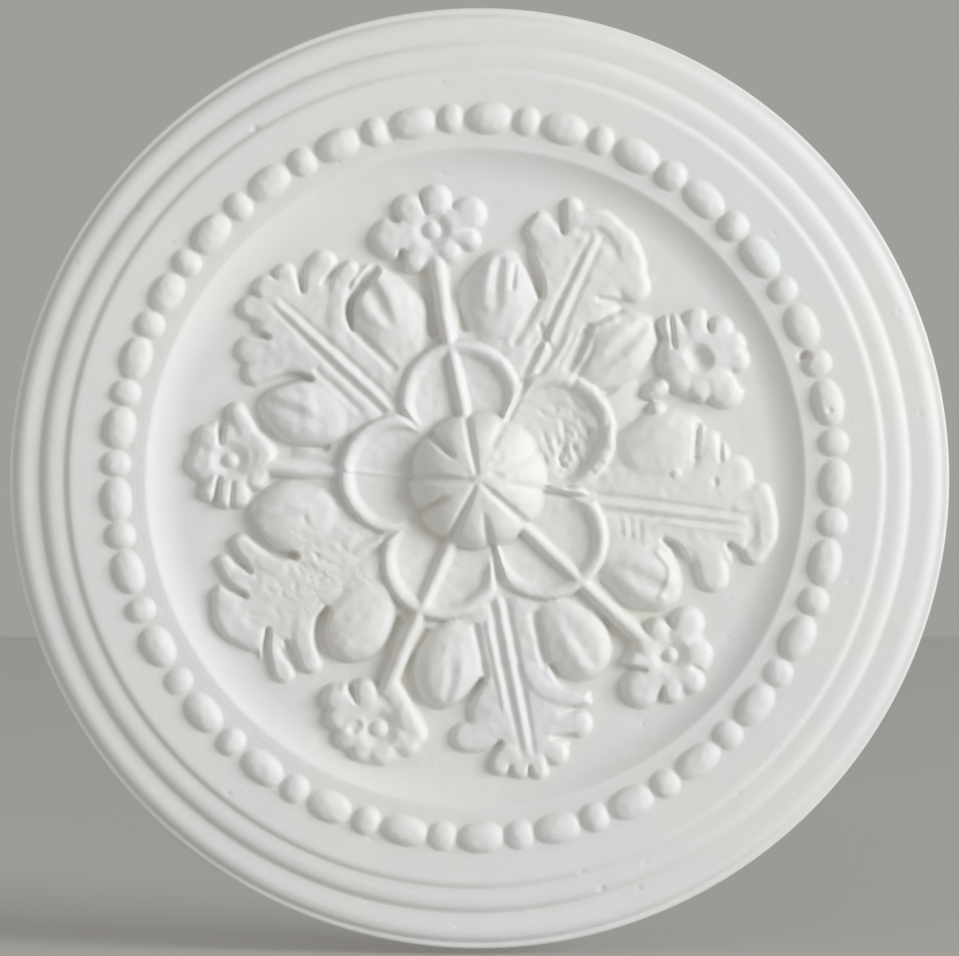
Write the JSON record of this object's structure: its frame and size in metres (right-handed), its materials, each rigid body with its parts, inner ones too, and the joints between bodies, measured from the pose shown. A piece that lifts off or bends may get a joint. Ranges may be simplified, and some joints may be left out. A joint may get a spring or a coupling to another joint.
{
  "type": "ceiling rose",
  "caption": "Round plaster ceiling rose with a stepped rim, a ring of beads, and a low-relief rosette of petals, stemmed flowers and acanthus leaves on a sunk ground.",
  "frame": {"origin": "centre of the flat back face, which is the face bonded to the ceiling or wall", "axes": "+Y out of the flat back towards the ceiling or wall, -Y out of the ornament, +Z towards the upper edge as hung on a wall; turn +Y up for a ceiling"},
  "size_m": [0.3, 0.0243, 0.3],
  "materials": {
    "plaster": "matt white gypsum plaster, bare, with fine casting grain and small air-bubble pits"
  },
  "bodies": {
    "root": {"rose_casting": "plaster"}
  },
  "joints": []
}
